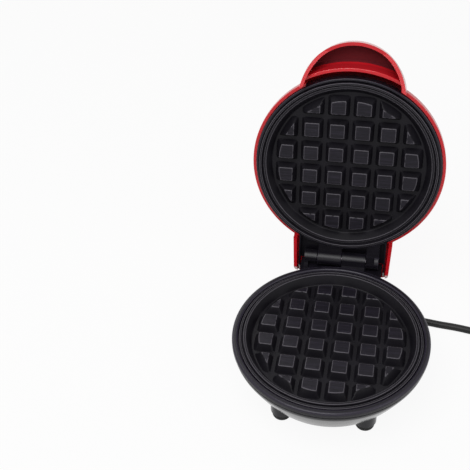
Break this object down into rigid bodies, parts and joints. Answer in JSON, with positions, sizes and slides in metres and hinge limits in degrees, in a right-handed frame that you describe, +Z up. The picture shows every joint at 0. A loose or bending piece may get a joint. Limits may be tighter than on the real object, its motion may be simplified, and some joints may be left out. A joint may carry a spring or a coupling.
{
  "type": "mini round waffle maker",
  "caption": "Small round waffle maker standing open: black bowl base, red domed lid with a hollow front grip and hinge cover, square-grid waffle plates and a power lead.",
  "frame": {"origin": "on the table, under the middle of the open object's footprint", "axes": "+Z up, -Y towards the user and the grip side of the base, +Y towards the hinge, +X along the hinge pin towards the lead's side"},
  "size_m": [0.2439, 0.2153, 0.1923],
  "materials": {
    "black_gloss": "glossy black moulded plastic",
    "charcoal_satin": "satin black heat-proof plastic",
    "non_stick": "cast aluminium with a dark non-stick coating",
    "red_gloss": "glossy red moulded plastic",
    "lens_green": "translucent pale green plastic, dimpled",
    "black_rubber": "matte black rubber",
    "cord_vinyl": "black vinyl lead and moulded plug",
    "steel": "plain bright steel",
    "element_steel": "heat-darkened steel tube",
    "phenolic": "brown moulded insulating plastic",
    "ceramic_white": "white unglazed ceramic",
    "lamp_glass": "small neon lamp bulb",
    "brass": "plain brass plug blades"
  },
  "bodies": {
    "base": {"base_bowl": "black_gloss", "base_rim": "charcoal_satin", "lower_plate": "non_stick", "lower_element": "element_steel", "lower_reflector": "steel", "thermostat": "steel", "thermal_fuse": "ceramic_white", "terminal_block": "phenolic", "base_screw_1": "steel", "base_screw_2": "steel", "base_screw_3": "steel", "foot_front_left": "black_rubber", "foot_front_right": "black_rubber", "foot_rear_left": "black_rubber", "foot_rear_right": "black_rubber", "hinge_pin": "steel", "strain_relief": "black_rubber", "power_cord": "cord_vinyl", "cord_coil": "cord_vinyl", "coil_tie": "cord_vinyl", "plug_body": "cord_vinyl", "plug_blade_left": "brass", "plug_blade_right": "brass"},
    "lid": {"lid_shell": "red_gloss", "lid_rim": "charcoal_satin", "upper_plate": "non_stick", "upper_element": "element_steel", "lid_screw_1": "steel", "lid_screw_2": "steel", "lid_screw_3": "steel", "indicator_lens": "lens_green", "lens_ring": "black_gloss", "lamp_holder": "ceramic_white", "indicator_lamp": "lamp_glass"}
  },
  "joints": [
    {"name": "lid_hinge", "type": "hinge", "parent": "base", "child": "lid", "pos_m": [0, 0.0394, 0.0457], "axis": [1, 0, 0], "range_deg": [0, 103.5]}
  ]
}
